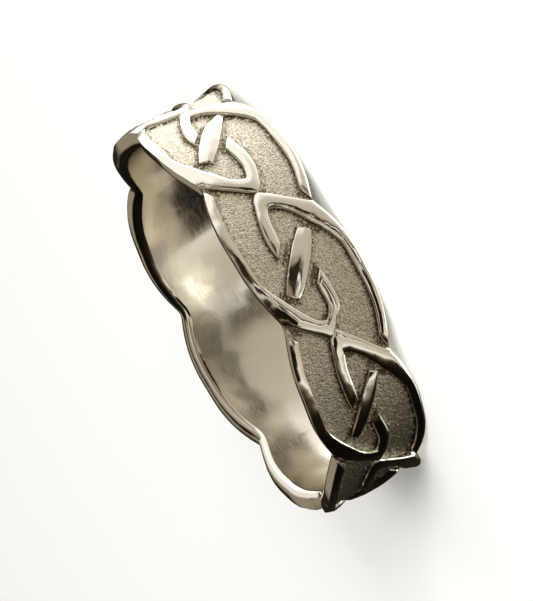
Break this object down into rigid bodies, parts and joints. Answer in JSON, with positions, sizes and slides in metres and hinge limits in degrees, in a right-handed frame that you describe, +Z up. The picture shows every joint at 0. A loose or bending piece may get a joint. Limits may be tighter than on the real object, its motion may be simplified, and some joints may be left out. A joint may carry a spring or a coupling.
{
  "type": "finger ring",
  "caption": "Cast finger ring with wavy edges and a raised interlaced knot band over a matt stippled ground, lying on its side.",
  "frame": {"origin": "on the surface that the ring lies on, under its axis", "axes": "+Z up along the finger hole's axis, +X through the middle of one crossing bar"},
  "size_m": [0.021, 0.021, 0.0055],
  "materials": {
    "silver": "polished raised strands and bore, matt stippled floors between them"
  },
  "bodies": {
    "root": {"ring_band": "silver"}
  },
  "joints": []
}
